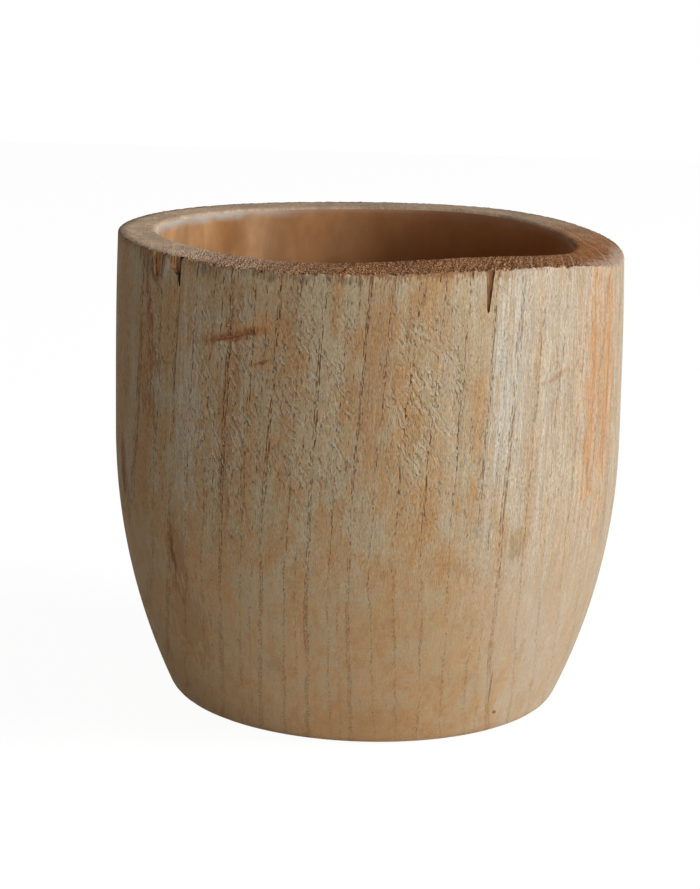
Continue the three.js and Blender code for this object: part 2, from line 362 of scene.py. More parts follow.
RUSSET = (0.560, 0.300, 0.130, 1)
PORE = (0.200, 0.080, 0.032, 1)
PALE_PORE = (0.340, 0.185, 0.090, 1)
MARKS = (  # colour, strength, angle from the front, height, half width, half height in mm, tilt, raggedness
    (BROWN, 0.80, -30.0, 106, 4.0, 44, -3, 0.9),
    (BROWN, 0.50, -16.5, 112, 3.0, 40, -3, 0.9),
    (BROWN, 0.55, 2, 112, 6.0, 36, -3, 0.9),
    (RUSSET, 0.70, -57, 104, 6.0, 52, -3, 0.8),
    # partly the wood's brown, partly painted shade low on the left
    (BROWN, 0.60, -46, 34, 10.0, 15, 0, 0.9),
    (RUSSET, 0.60, -71, 108, 8.0, 60, 0, 0.5),
    (GREY, 0.50, -64, 110, 2.4, 44, -3, 0.6),
    (GREY, 0.60, -26, 45, 5.0, 14, 0, 1.5),
    (GREY, 0.55, -8, 42, 5.0, 10, 0, 1.6),
    (RUSSET, 0.50, 0, 6, 30.0, 9, 0, 0.5),
    (CHALK, 0.45, -43.2, 112, 1.4, 30, -4, 0.5),
    (CHALK, 0.50, -40.5, 102, 4.0, 38, -4, 0.9),
    (UMBER, 0.60, -45.0, 117, 0.35, 20, -4, 0.5),
    (CHALK, 1.00, 31.0, 111, 6.5, 41, -3, 0.6),
    (CHALK, 0.75, 28.4, 120, 2.4, 24, -3, 0.4),
    (CHALK, 0.45, 45.0, 108, 7.0, 40, -3, 1.2),
    (ORANGE, 0.60, 62.5, 106, 13, 46, 0, 0.9),
    (ORANGE, 0.85, 57.5, 104, 2.4, 46, -3, 0.9),
    (ORANGE, 0.85, 65.5, 108, 3.0, 44, -3, 0.9),
    (CHALK, 0.40, 82, 104, 6, 40, 0, 0.4),
    (RUST, 0.85, -70.5, 74.5, 3.2, 8.5, 12, 0.5),
    (UMBER, 0.80, -71, 69.0, 2.6, 5.5, 8, 0.4),
    (RUST, 0.45, -46.5, 53, 5.5, 12, 0, 0.9),
    (UMBER, 0.70, -47.9, 53, 1.0, 7, 0, 0.9),
    (OLIVE, 0.60, 34.7, 61.5, 4.0, 5.4, 0, 1.0),
    (UMBER, 0.16, 36.2, 61.0, 0.9, 2.8, -10, 0.7),
    (UMBER, 0.50, 34.7, 18, 0.40, 7.0, 10, 0.3),
    (UMBER, 0.80, 39.1, 7.8, 1.2, 0.7, -20, 0.4),
    (ORANGE, 0.70, -27.6, 120.9, 13.5, 2.8, 16, 0.6),
    (RUST, 0.90, -30.2, 119.3, 12.5, 1.6, 15, 0.5),
    (UMBER, 0.60, -30.8, 118.9, 6.5, 0.6, 15, 0.5),
    (ORANGE, 0.60, -23.0, 112.4, 4.5, 2.0, 20, 0.6),
    (RUST, 0.65, -22.4, 113.2, 3.8, 0.8, 20, 0.5),
    (ORANGE, 0.55, -22.2, 124, 3.0, 3.8, 0, 0.7),
    (RUST, 0.70, -55.6, 126, 1.4, 3.5, 16, 1.3),
    (RUST, 0.75, -54.8, 119, 1.9, 5.0, 14, 1.3),
    (RUST, 0.60, -53.6, 109, 3.4, 5.0, 10, 1.6),
    (RUST, 0.55, -55, 97, 3.8, 7.0, 10, 1.6),
    # grime and painted shade just below the rim's edge
    (GRIME_AND_SHADE, 0.55, -55, 135.5, 7.0, 4.0, 0, 1.0),
    (GRIME_AND_SHADE, 0.50, -36, 137, 6.0, 2.6, 0, 1.4),
    (GRIME_AND_SHADE, 0.45, -20, 137.6, 9.0, 1.6, 0, 1.4),
    (GRIME_AND_SHADE, 0.40, -4, 137.2, 8.0, 1.6, 0, 1.4),
    # painted shade in the shallow hollow left of the chip
    (UMBER, 0.50, -53.2, 134.8, 2.6, 4.4, -8, 0.5),
    (CHALK, 0.90, -49.0, 135.6, 1.2, 4.6, -16, 0.2),
    (RUST, 0.55, 11.5, 133, 1.0, 4.5, -12, 0.9),
    (RUST, 0.45, 8.5, 124, 0.9, 5.0, -6, 0.9),
    (RUSSET, 0.50, 16.5, 59, 1.8, 5.0, 0, 1.8),
    (BROWN, 0.50, 21.2, 56, 4.6, 2.2, -35, 1.8),
    (RUSSET, 0.80, 23.6, 78, 1.0, 3.0, 20, 1.2),
    (BROWN, 0.50, 4.8, 55.6, 3.0, 1.8, 0, 1.6),
    (RUSSET, 0.70, 5.9, 41, 2.6, 1.8, 20, 1.4),
    (RUSSET, 0.70, 31, 54, 1.5, 2.0, 0, 1.4),
    (UMBER, 0.16, -21.5, 25, 3.0, 2.6, 0, 0.8),
    (BROWN, 0.50, 44.3, 108.8, 6.0, 0.9, 22, 0.5),
    (RUST, 0.40, 40.3, 107.3, 1.1, 0.8, 0, 0.4),
)


def fill(node, inputs):
    """Sets the inputs of a node, or links them to other nodes."""
    for name, value in inputs.items():
        if isinstance(value, bpy.types.NodeSocket):
            node.id_data.links.new(value, node.inputs[name])
        else:
            node.inputs[name].default_value = value


def tree_of(inputs):
    """The node tree that the linked ones among some inputs come from."""
    return next(value.id_data for value in inputs.values() if isinstance(value, bpy.types.NodeSocket))


def wire(kind, inputs, output=0, **settings):
    """Adds a node to the tree of its inputs, fills them, and gives back one of its outputs."""
    made = tree_of(inputs).nodes.new("ShaderNode" + kind)
    for name, value in settings.items():
        setattr(made, name, value)
    fill(made, inputs)
    return made.outputs[output]


def calc(operation, *values):
    return wire("Math", dict(enumerate(values)), operation=operation)


def times(one, other):
    return calc("MULTIPLY", one, other)


def times_plus(one, other, more):
    return calc("MULTIPLY_ADD", one, other, more)


def away(value, mark):
    """How far a value lies from a mark, to either side of it."""
    return calc("ABSOLUTE", calc("SUBTRACT", value, mark))


def span(along, across):
    """The straight way of two steps at right angles."""
    return calc("SQRT", times_plus(along, along, times(across, across)))


def lot(number):
    """A share drawn by lot, the same for all numbers with the same whole part."""
    return wire("TexWhiteNoise", {"W": calc("FLOOR", number)}, noise_dimensions="1D")


def ease(value, low, high, start=0.0, end=1.0):
    """Runs smoothly from start to end as a value goes from low to high."""
    inputs = {"Value": value, "From Min": low, "From Max": high, "To Min": start, "To Max": end}
    return wire("MapRange", inputs, interpolation_type="SMOOTHSTEP")


def tint(share, under, over):
    return wire("Mix", {0: share, 6: under, 7: over}, 2, data_type="RGBA")


def dim(colour, share):
    return wire("VectorMath", {0: colour, "Scale": share}, operation="SCALE")


def cloud(place, sizes, detail=2.0, rough=0.5):
    """Noise whose grains have the given sizes in mm."""
    near = wire("VectorMath", {0: place, 1: tuple(1 / size for size in sizes)}, operation="MULTIPLY")
    return wire("TexNoise", {"Vector": near, "Scale": 1.0, "Detail": detail, "Roughness": rough})


def new_group(name, inputs, outputs):
    group = bpy.data.node_groups.new(name, "ShaderNodeTree")
    for socket, kind in inputs.items():
        group.interface.new_socket(socket, in_out="INPUT", socket_type="NodeSocket" + kind)
    for socket, kind in outputs.items():
        group.interface.new_socket(socket, in_out="OUTPUT", socket_type="NodeSocket" + kind)
    return group, group.nodes.new("NodeGroupInput").outputs, group.nodes.new("NodeGroupOutput").inputs


def use(group, inputs, tree=None):
    """Places a group in a tree, or else in that of its inputs, and gives back its outputs."""
    placed = (tree or tree_of(inputs)).nodes.new("ShaderNodeGroup")
    placed.node_tree = group
    fill(placed, inputs)
    return placed.outputs


def finish_material(material, colour, roughness, height, gloss=0.12, metallic=0.0):
    """Lays colour, roughness and relief in mm on a plain shader."""
    relief = wire("Bump", {"Strength": 1.0, "Distance": MM, "Height": height})
    looks = {"Base Color": colour, "Roughness": roughness, "Normal": relief, "Metallic": metallic}
    fill(material.node_tree.nodes["Principled BSDF"], looks | {"Specular IOR Level": gloss})


# Where a point of the log lies: in mm as it stands and along the grain, round the leaning axis from the
# front, out to the right side and out from the axis, up from the foot, and through the rings.
log_place, given, result = new_group(
    "log_place", {},
    {"Spot": "Vector", "Grain": "Vector", "Angle": "Float", "Side": "Float", "Out": "Float",
     "Height": "Float", "Ring": "Float"},
)
object_place = log_place.nodes.new("ShaderNodeTexCoord").outputs["Object"]
spot = wire("VectorMath", {0: object_place, "Scale": 1 / MM}, operation="SCALE")
spot_x, spot_y, spot_z = (wire("SeparateXYZ", {0: spot}, axis) for axis in range(3))
lean_x = times_plus(spot_z, LEAN / HEIGHT, -LEAN * LEAN_PIVOT / HEIGHT / MM)
off_x = calc("ADD", spot_x, lean_x)
turn_angle = calc("ARCTAN2", off_x, times(spot_y, -1.0))
turn_angle = calc("DEGREES", turn_angle)
axis_out = span(off_x, spot_y)
side = calc("DIVIDE", off_x, axis_out)
grain_x = times_plus(spot_z, -GRAIN_LEAN, spot_x)
grain_place = wire("CombineXYZ", {0: grain_x, 1: spot_y, 2: spot_z})
ring_x = calc("SUBTRACT", grain_x, RING_HEART[0])
ring_y = calc("SUBTRACT", spot_y, RING_HEART[1])
ring_sway = cloud(grain_place, RING_SWAY_SIZE)
ring = times_plus(ring_sway, RING_SWAY, span(ring_x, ring_y))
placed = {"Spot": spot, "Grain": grain_place, "Angle": turn_angle, "Side": side, "Out": axis_out,
          "Height": spot_z, "Ring": ring}
for name, socket in placed.items():
    log_place.links.new(socket, result[name])

# A stain, streak or smear on the wall, or a patch of painted shade: a soft-edged oval that may lie aslant,
# with an outline that frays along the fibres.
MARK_CORE, MARK_EDGE = 0.45, 1.15  # where a mark starts to fade and where it ends, in its half sizes
FRAY_SIZE, FRAY_REACH = (1.4, 1.4, 7), 4.0
arc_mm = math.radians(1) * BELLY_RADIUS / MM
wall_mark, given, result = new_group(
    "wall_mark",
    {"Grain": "Vector", "Angle": "Float", "Height": "Float", "At": "Float", "Level": "Float",
     "Half width": "Float", "Half height": "Float", "Tilt": "Float", "Ragged": "Float"},
    {"Mask": "Float"},
)
aside = times(calc("SUBTRACT", given["Angle"], given["At"]), arc_mm)
above = calc("SUBTRACT", given["Height"], given["Level"])
tilt = calc("RADIANS", given["Tilt"])
cosine, sine = calc("COSINE", tilt), calc("SINE", tilt)
along = times_plus(aside, cosine, times(above, sine))
across = times(aside, sine)
across = calc("SUBTRACT", times(above, cosine), across)
along = calc("DIVIDE", along, given["Half width"])
across = calc("DIVIDE", across, given["Half height"])
fray = calc("SUBTRACT", cloud(given["Grain"], FRAY_SIZE, 6.0, 0.62), 0.5)
fray = times(fray, given["Ragged"])
reach = times_plus(fray, FRAY_REACH, span(along, across))
wall_mark.links.new(ease(reach, MARK_CORE, MARK_EDGE, 1.0, 0.0), result["Mask"])

# Grain that runs up the log: streaks and patches of colour, fibres, and pores in dashed lines, some of
# them in pairs, with short loose dashes beside them. Sizes are in mm, across and along the log.
STREAK_SIZE, PATCH_SIZE = (5, 5, 80), (9, 9, 18)
FIBRE_SIZE, LONG_FIBRE_SIZE = (0.36, 0.36, 7), (1.3, 1.3, 30)
WIGGLE_SIZE, WIGGLE_REACH = (4, 4, 20), 2.4
PORE_SIZE, LONG_PORE_SIZE, LOOSE_PORE_SIZE = (0.27, 0.27, 0.9), (0.27, 0.27, 2.0), (0.28, 0.28, 1.5)
FADE_SIZE, CROWD_SIZE = (4, 4, 26), (5, 5, 14)
PORE_LINES = ((0.0, 0.75, 1.0), (0.10, 0.1, 0.95), (0.52, 0.0, 0.6))  # shift in rings, least and most share
LOW_LINE_WIDTH, HIGH_LINE_WIDTH = 0.085, 0.060  # in rings
LONG_PORES = (30, 80)  # heights between which short pores give way to long ones
log_grain, given, result = new_group(
    "log_grain", {"Grain": "Vector", "Ring": "Float"},
    {"Streak": "Float", "Patch": "Float", "Fibre": "Float", "Pore": "Float"},
)
streak = ease(cloud(given["Grain"], STREAK_SIZE, 3.0), 0.36, 0.64)
patch = ease(cloud(given["Grain"], PATCH_SIZE, 7.0, 0.56), 0.42, 0.58)
fibre = cloud(given["Grain"], FIBRE_SIZE, 2.0)
long_fibre = cloud(given["Grain"], LONG_FIBRE_SIZE, 1.0)
fibre = times_plus(long_fibre, 0.8, fibre)
fibre = ease(fibre, 0.62, 1.18)
wiggle = times(cloud(given["Grain"], WIGGLE_SIZE, 3.0), WIGGLE_REACH)
line_number = calc("DIVIDE", calc("ADD", given["Ring"], wiggle), RING_STEP)
high_up = ease(wire("SeparateXYZ", {0: given["Grain"]}, 2), *LONG_PORES)
short, long = (cloud(given["Grain"], size, 1.0) for size in (PORE_SIZE, LONG_PORE_SIZE))
speck = wire("Mix", {0: high_up, 2: short, 3: long})
fade = ease(cloud(given["Grain"], FADE_SIZE, 2.0), 0.34, 0.58, 0.60, 1.0)
trail = None
line_width = ease(high_up, 0, 1, LOW_LINE_WIDTH, HIGH_LINE_WIDTH)
for shift, least, most in PORE_LINES:
    shifted = calc("ADD", line_number, shift)
    off_line = away(calc("FRACT", shifted), 0.5)
    chance = ease(lot(shifted), 0.15, 0.85, least, most)
    on_line = ease(off_line, 0.02, line_width, 1.0, 0.0)
    on_line = times(on_line, chance)
    trail = calc("MAXIMUM", trail, on_line) if trail else on_line
trail = times(trail, fade)
pore = ease(times_plus(trail, 0.26, speck), 0.71, 0.77)
loose = ease(cloud(given["Grain"], LOOSE_PORE_SIZE, 1.0), 0.62, 0.72)
crowd = ease(cloud(given["Grain"], CROWD_SIZE, 3.0), 0.42, 0.60, 0.1, 0.90)
loose = times(times(loose, crowd), high_up)
pore = calc("MAXIMUM", pore, loose)
for name, socket in (("Streak", streak), ("Patch", patch), ("Fibre", fibre), ("Pore", pore)):
    log_grain.links.new(socket, result[name])


def surface(name):
    """A material, and where each of its points lies on the log."""
    material = bpy.data.materials.get(name) or bpy.data.materials.new(name)
    material.use_nodes = True
    return material, use(log_place, {}, material.node_tree)


# The turned wall: greyer towards the rim, warmer towards the foot, and pale on the right side of the log,
# where sapwood shows. Heights are in mm, and angles in degrees from the front.
UPPER = (25, 80)  # where the lower wood gives way to the upper
SAPWOOD_FROM, SAPWOOD_TO = (26, 58), (95, 150)  # angles between which it comes, and between which it goes
# painted shade: a band of the wall on the left is darkened
PAINTED_SHADE_AT = -42  # a darker band on the left
LONG_MARK = 10  # half height above which a chalky or orange mark breaks up along the fibres
MOTTLE_SIZE, SPECKLE_SIZE, CHATTER_SIZE = (3.6, 3.6, 6), (0.34, 0.34, 1.1), (8, 8, 0.9)
CHALK_FIBRE_SIZE, GRIME_FIBRE_SIZE, BRISTLE_SIZE = (0.55, 0.55, 16), (0.45, 0.45, 4), (0.25, 0.25, 2.6)
outer_wall, place = surface("outer_wall")
grain = use(log_grain, {"Grain": place["Grain"], "Ring": place["Ring"]})
wall_place = {name: place[name] for name in ("Grain", "Angle", "Height")}
upper = ease(place["Height"], *UPPER)
sapwood = times_plus(place["Height"], 0.10, place["Angle"])
sapwood = times_plus(grain["Streak"], 9.0, sapwood)
sapwood_end = ease(place["Angle"], *SAPWOOD_TO, 1.0, 0.0)
sapwood = times(ease(sapwood, *SAPWOOD_FROM), sapwood_end)
sapwood = times(sapwood, ease(place["Height"], 5, 95, 0.85, 1.0))
greyness = times_plus(grain["Patch"], 0.70, times(grain["Streak"], 0.40))
greyness = calc("ADD", greyness, ease(place["Height"], 25, 85, -0.35, 0.05))
colour = tint(wire("Clamp", {0: greyness}), TAN, GREY)
warmth = times(ease(place["Height"], 80, 20), ease(grain["Patch"], 0.0, 1.0, 1.0, 0.4))
colour = tint(warmth, colour, WARM)
paleness = times(sapwood, ease(grain["Streak"], 0.0, 1.0, 0.6, 0.95))
colour = tint(paleness, colour, CREAM)
mottle = cloud(place["Grain"], MOTTLE_SIZE, 8.0, 0.66)
lower_left = ease(times_plus(place["Height"], 0.4, place["Angle"]), 20, 75, 0.50, 0.12)
colour = tint(times(ease(mottle, 0.50, 0.62), lower_left), colour, RUSSET)
colour = tint(times(ease(mottle, 0.48, 0.36), lower_left), colour, GREY)
chalk_fibre = ease(cloud(place["Grain"], CHALK_FIBRE_SIZE, 3.0, 0.6), 0.42, 0.55, 0.15, 1.0)
grime_and_shade_fibre = ease(cloud(place["Grain"], GRIME_FIBRE_SIZE, 3.0, 0.6), 0.40, 0.58, 0.35, 1.5)
for mark_colour, strength, at, level, half_width, half_height, tilt, ragged in MARKS:
    oval = {"At": at, "Level": level, "Half width": half_width, "Half height": half_height}
    mask = use(wall_mark, wall_place | oval | {"Tilt": tilt, "Ragged": ragged})["Mask"]
    # marks of grime and painted shade break up along the fibres
    if mark_colour == GRIME_AND_SHADE:
        mask = times(mask, grime_and_shade_fibre)
    if mark_colour in (CHALK, ORANGE) and half_height > LONG_MARK:
        fibre_mask = chalk_fibre if mark_colour == CHALK else ease(chalk_fibre, 0.15, 1.0, 0.5, 1.0)
        mask = times(mask, fibre_mask)
    colour = tint(times(mask, strength), colour, mark_colour)
# painted shade in a band on the left of the wall
colour = dim(colour, ease(away(place["Angle"], PAINTED_SHADE_AT), 8, 32, 0.90, 1.0))
fibre_contrast = times_plus(sapwood, 0.18, 0.13)
fibre_contrast = times(fibre_contrast, ease(upper, 0, 1, 0.3, 1.0))
fibre_shade = times(calc("SUBTRACT", grain["Fibre"], 0.5), fibre_contrast)
colour = dim(colour, calc("ADD", fibre_shade, 1.0))
speckle = cloud(place["Grain"], SPECKLE_SIZE, 3.0, 0.62)
fleck_shade = times(calc("SUBTRACT", speckle, 0.5), ease(upper, 0, 1, 0.40, 1.20))
colour = dim(colour, calc("ADD", fleck_shade, 1.0))
chatter = cloud(place["Spot"], CHATTER_SIZE, 2.0)
colour = dim(colour, ease(chatter, 0.3, 0.7, 0.985, 1.015))
bristle = ease(cloud(place["Grain"], BRISTLE_SIZE, 1.0), 0.62, 0.72)
colour = tint(times(bristle, ease(upper, 0, 1, 0.1, 0.45)), colour, CHALK)
pores = times(grain["Pore"], ease(place["Height"], 15, 95, 0.30, 0.96))
flat_sawn = calc("ABSOLUTE", place["Side"])
pores = times(pores, ease(flat_sawn, 0.78, 0.98, 1.0, 0.4))
pores = times(pores, ease(sapwood, 0.0, 1.0, 1.0, 0.78))
pore_colour = tint(sapwood, tint(upper, UMBER, PORE), PALE_PORE)
colour = tint(pores, colour, pore_colour)

# Torn grain on the wall: shingled flakes that lie aslant, each with a painted highlight on one edge and
# painted shade on the other. A rusty fringe of saw dust and fibres, partly painted shade under the rim's
# edge, runs along the top of the wall at the front.
FLAKE_WIDTH, FLAKE_RUN, FLAKE_SLANT = 1.6, 0.85, 0.5
PORE_RELIEF, FIBRE_RELIEF, BRISTLE_RELIEF, CHATTER_RELIEF, FLAKE_RELIEF = -0.10, 0.05, 0.05, 0.05, -0.60
CLUMP_SIZE, GAP_SIZE, WARP_SIZE, WARP_REACH = (5, 8, 1), (1.7, 3.0, 1), (3.0, 4.0, 1), 4.2
FRINGE_SIZE, FRINGE_REACH, FRINGE_AT = (0.5, 0.5, 2.5), 14.0, (145.0, 146.4)
torn_mask = None
for at, level, half_width, half_height in TORN_PATCHES:
    oval = {"At": at, "Level": level / MM, "Half width": half_width / MM, "Half height": half_height / MM}
    mask = use(wall_mark, wall_place | oval | {"Ragged": 0.5})["Mask"]
    torn_mask = calc("MAXIMUM", torn_mask, mask) if torn_mask else mask
side_mm = times(place["Angle"], arc_mm)
flake_up = times(place["Height"], FLAKE_SLANT)
flake_across = times_plus(side_mm, FLAKE_RUN, flake_up)
flake_up = times(place["Height"], FLAKE_RUN)
flake_along = times_plus(side_mm, -FLAKE_SLANT, flake_up)
flake_place = wire("CombineXYZ", {0: flake_across, 1: flake_along, 2: 0.0})
clump = ease(cloud(flake_place, CLUMP_SIZE, 2.0), 0.41, 0.54)
gap = ease(cloud(flake_place, GAP_SIZE, 1.0), 0.42, 0.56)
torn_mask = times(times(torn_mask, clump), gap)
flake_warp = times(cloud(flake_place, WARP_SIZE, 3.0, 0.55), WARP_REACH)
flake = calc("FRACT", calc("DIVIDE", calc("ADD", flake_across, flake_warp), FLAKE_WIDTH))
# painted highlight on one edge of each flake, and painted shade on the other
painted_highlight_edge = times(ease(flake, 0.0, 0.40, 0.60, 0.0), torn_mask)
painted_shade_edge = times(ease(flake, 0.75, 1.0, 0.0, 0.75), torn_mask)
colour = tint(painted_highlight_edge, colour, CHALK)
colour = tint(painted_shade_edge, colour, UMBER)
# the fringe is partly painted shade under the rim's frayed edge
fringe = cloud(place["Grain"], FRINGE_SIZE, 3.0)
fringe = times_plus(fringe, FRINGE_REACH, place["Height"])
fringe_end = ease(place["Angle"], 18, 40, 1.0, 0.1)
fringe = times(ease(fringe, *FRINGE_AT, 0.0, 0.7), fringe_end)
colour = tint(fringe, colour, RUST)
height = times_plus(grain["Pore"], PORE_RELIEF, times(grain["Fibre"], FIBRE_RELIEF))
height = times_plus(speckle, ease(upper, 0, 1, 0.04, 0.16), height)
height = times_plus(bristle, BRISTLE_RELIEF, height)
height = times_plus(chatter, CHATTER_RELIEF, height)
height = times_plus(times(flake, torn_mask), FLAKE_RELIEF, height)
finish_material(outer_wall, colour, ease(grain["Fibre"], 0.0, 1.0, 0.68, 0.84), height)

# The sawn end grain of the rim: brown and rough at the front, its dark specks there partly painted shade in
# the saw's pits; smoother and ringed to the right, and greyer on the left and round the back.
SAW_BROWN = (0.515, 0.216, 0.080, 1)
SAW_GREY = (0.740, 0.540, 0.375, 1)
SAW_DARK = (0.110, 0.040, 0.014, 1)
SAW_LIGHT = (0.940, 0.590, 0.360, 1)
SAW_WORN = (0.720, 0.540, 0.410, 1)
RIM_RING_STEP = 3.0
SPECK_SIZE, BLOTCH_SIZE, SCUFF_SIZE = (0.38, 1.4, 0.7), (9, 9, 9), (1.4, 3.5, 2)
BROWN_AT, COARSE_AT, RINGED_AT, WORN_END_AT = 45, 5, 60, 76  # degrees from the front
sawn_rim, place = surface("sawn_rim")
speck = cloud(place["Spot"], SPECK_SIZE, 2.0)
blotch = cloud(place["Spot"], BLOTCH_SIZE, 3.0)
off_brown = away(place["Angle"], BROWN_AT)
at_back = ease(times_plus(blotch, 30, off_brown), 60, 112)
coarse = ease(away(place["Angle"], COARSE_AT), 30, 75, 1.0, 0.15)
ring_number = calc("DIVIDE", place["Ring"], RIM_RING_STEP)
ring_wave = calc("FRACT", ring_number)
ring_line = ease(away(ring_wave, 0.5), 0.03, 0.10, 1.0, 0.0)
on_right = ease(away(place["Angle"], RINGED_AT), 30, 75, 0.60, 0.35)
year = lot(ring_number)
ring_line = times(ring_line, ease(year, 0.2, 0.8, 0.25, 1.0))
colour = tint(at_back, SAW_BROWN, SAW_GREY)
saw_band = times(calc("SUBTRACT", ring_wave, 0.5), times(coarse, 0.45))
saw_band = times_plus(calc("SUBTRACT", year, 0.5), times(coarse, 0.38), saw_band)
saw_band = calc("SUBTRACT", 1.0, saw_band)
colour = dim(colour, ease(blotch, 0.3, 0.7, 0.82, 1.15))
colour = dim(colour, ease(place["Side"], -0.9, 0.1, 1.36, 1.0))
colour = dim(colour, ease(at_back, 0.3, 1.0, 1.0, 0.84))
colour = dim(colour, ease(place["Side"], 0.4, 0.95, 1.0, 0.86))
scuff = cloud(place["Spot"], SCUFF_SIZE, 5.0)
colour = dim(colour, ease(scuff, 0.3, 0.7, 0.88, 1.10))
# grime and painted shade along the rim's outer edge, most on the left
grime_and_shade_edge = times_plus(scuff, 5.0, place["Out"])
grime_and_shade_left = ease(place["Angle"], -75, 0, 1.0, 0.25)
grime_and_shade_edge = times(ease(grime_and_shade_edge, 73.6, 77.0, 0.0, 0.75), grime_and_shade_left)
colour = tint(grime_and_shade_edge, colour, GRIME_AND_SHADE)
worn_end = ease(away(place["Angle"], WORN_END_AT), 12, 26, 0.85, 0.0)
worn_out = ease(times_plus(scuff, 9.0, place["Out"]), 73.0, 77.5)
colour = tint(times(worn_end, worn_out), colour, SAW_WORN)
# dark specks at the front: partly dark end grain, partly painted shade in the saw's pits
colour = tint(times(ease(speck, 0.36, 0.54, 1.0, 0.0), coarse), colour, SAW_DARK)
colour = tint(times(ease(speck, 0.55, 0.66, 0.0, 1.0), coarse), colour, SAW_LIGHT)
colour = dim(colour, saw_band)
colour = tint(times(ring_line, on_right), colour, SAW_LIGHT)
rim_relief = times_plus(scuff, 0.12, times(times(speck, coarse), 1.2))
finish_material(sawn_rim, colour, ease(speck, 0.3, 0.7, 0.75, 0.9), rim_relief, gloss=0.04)

# The bore: warm heartwood in soft streaks, with painted shade on the right, and a pale edge round the left of
# the mouth. The tool left it smoother than the wall.
BORE_TAN = (0.680, 0.392, 0.196, 1)
BORE_BROWN = (0.490, 0.218, 0.076, 1)
BORE_SHADE = (0.370, 0.126, 0.034, 1)
MOUTH_PALE = (0.620, 0.585, 0.525, 1)
SOFT_STREAK_SIZE, BORE_PATCH_SIZE, MOUTH_PALE_SIZE = (17, 17, 150), (7, 7, 12), (5, 5, 3)
bore_wall, place = surface("bore_wall")
grain = use(log_grain, {"Grain": place["Grain"], "Ring": place["Ring"]})
soft_streak = cloud(place["Grain"], SOFT_STREAK_SIZE, 0.0)
colour = tint(ease(soft_streak, 0.25, 0.75), BORE_BROWN, BORE_TAN)
bore_patch = cloud(place["Grain"], BORE_PATCH_SIZE, 4.0)
colour = dim(colour, ease(bore_patch, 0.3, 0.7, 0.80, 1.16))
colour = dim(colour, ease(grain["Fibre"], 0.0, 1.0, 0.985, 1.015))
# painted shade on the right side of the bore
colour = tint(ease(place["Side"], -0.8, 0.6, 0.0, 0.85), colour, BORE_SHADE)
# a pale band round the left of the mouth
pale_mouth_edge = cloud(place["Spot"], MOUTH_PALE_SIZE, 3.0)
pale_mouth_edge = times_plus(pale_mouth_edge, 3.0, place["Height"])
pale_mouth_left = ease(place["Side"], -0.85, -0.2, 1.0, 0.10)
pale_mouth_edge = times(ease(pale_mouth_edge, 137.2, 140.6), pale_mouth_left)
colour = tint(pale_mouth_edge, colour, MOUTH_PALE)
bore_relief = times(grain["Fibre"], 0.01)
finish_material(bore_wall, colour, ease(grain["Fibre"], 0.0, 1.0, 0.6, 0.75), bore_relief)

# Split wood in the cracks, chips and scars: raw and fibrous, browned with age, with painted shade where it is
# deep and in the chip's slot and gap, and rusty in the scars below the rim.
SPLIT_DARK = (0.270, 0.130, 0.055, 1)
SPLIT_TAN = (0.690, 0.375, 0.165, 1)
SPLIT_SHADE = (0.018, 0.010, 0.006, 1)
SPLINTER_SIZE = (0.5, 0.5, 3.0)
SLOT_AT, GAP_AT, CRACK_AT = -44.9, -50.0, 26.3  # degrees from the front
RIM_SPLITS = (120, 128)  # heights in mm: above them lie the splits of the rim, below them the scars
split_wood, place = surface("split_wood")
splinter = cloud(place["Grain"], SPLINTER_SIZE, 3.0)
colour = tint(ease(splinter, 0.35, 0.65), SPLIT_DARK, SPLIT_TAN)
# painted shade: darker the deeper a split reaches into the rim
depth_shade = ease(place["Out"], 71.6, 74.2, 0.15, 1.0)
at_rim = ease(place["Height"], *RIM_SPLITS)
deep = times(at_rim, calc("SUBTRACT", 1.0, depth_shade))
colour = dim(colour, calc("SUBTRACT", 1.0, deep))
# painted shade filling the chip's narrow slot and the gap beside it
slot_shade = ease(away(place["Angle"], SLOT_AT), 0.7, 1.3, 0.92, 0.0)
gap_shade = ease(away(place["Angle"], GAP_AT), 0.5, 1.2, 0.85, 0.0)
colour = tint(calc("MAXIMUM", slot_shade, gap_shade), colour, SPLIT_SHADE)
in_crack = ease(away(place["Angle"], CRACK_AT), 1.5, 3.0, 0.55, 0.0)
colour = tint(in_crack, colour, UMBER)
colour = tint(ease(place["Height"], *RIM_SPLITS, 0.65, 0.0), colour, RUST)
split_relief = times(splinter, 0.4)
finish_material(split_wood, colour, ease(splinter, 0.3, 0.7, 0.7, 0.9), split_relief)

# Each face of the body gets the wood that it shows, by where it lies and which way it looks. Faces of the
# splits and scars keep the split wood that their cutters gave them.
RIM_ZONE = 6 * MM
MOUTH_SHARE = 0.3  # of the mouth's rounding, that still counts as bore
BODY_SMOOTH = 38  # degrees below which an edge is smooth
for material in (outer_wall, sawn_rim, bore_wall):
    body.data.materials.append(material)
faces = body.data.polygons
slots = np.empty(len(faces), np.int32)
faces.foreach_get("material_index", slots)
centres, normals = np.empty(len(faces) * 3, np.float32), np.empty(len(faces) * 3, np.float32)
faces.foreach_get("center", centres)
faces.foreach_get("normal", normals)
centres, normals = centres.reshape(-1, 3), normals.reshape(-1, 3)
wall_slot, split_slot, rim_slot, bore_slot = 2, 1, 3, 4  # in the order in which the body got its woods
outwards = ((centres[:, :2] - np.array(BORE_CENTRE)) * normals[:, :2]).sum(axis=1) > 0
high = centres[:, 2] > HEIGHT - RIM_ZONE
new_slots = np.where(outwards | (centres[:, 2] < FLOOR_HEIGHT), wall_slot, bore_slot)
from_bore = np.hypot(*((centres[:, :2] - np.array(BORE_CENTRE)) / np.array(BORE_HALF)).T)
past_edge = np.hypot(centres[:, 0] - rim_x, centres[:, 1]) < RIM_RADIUS - EDGE_ROUND / 2
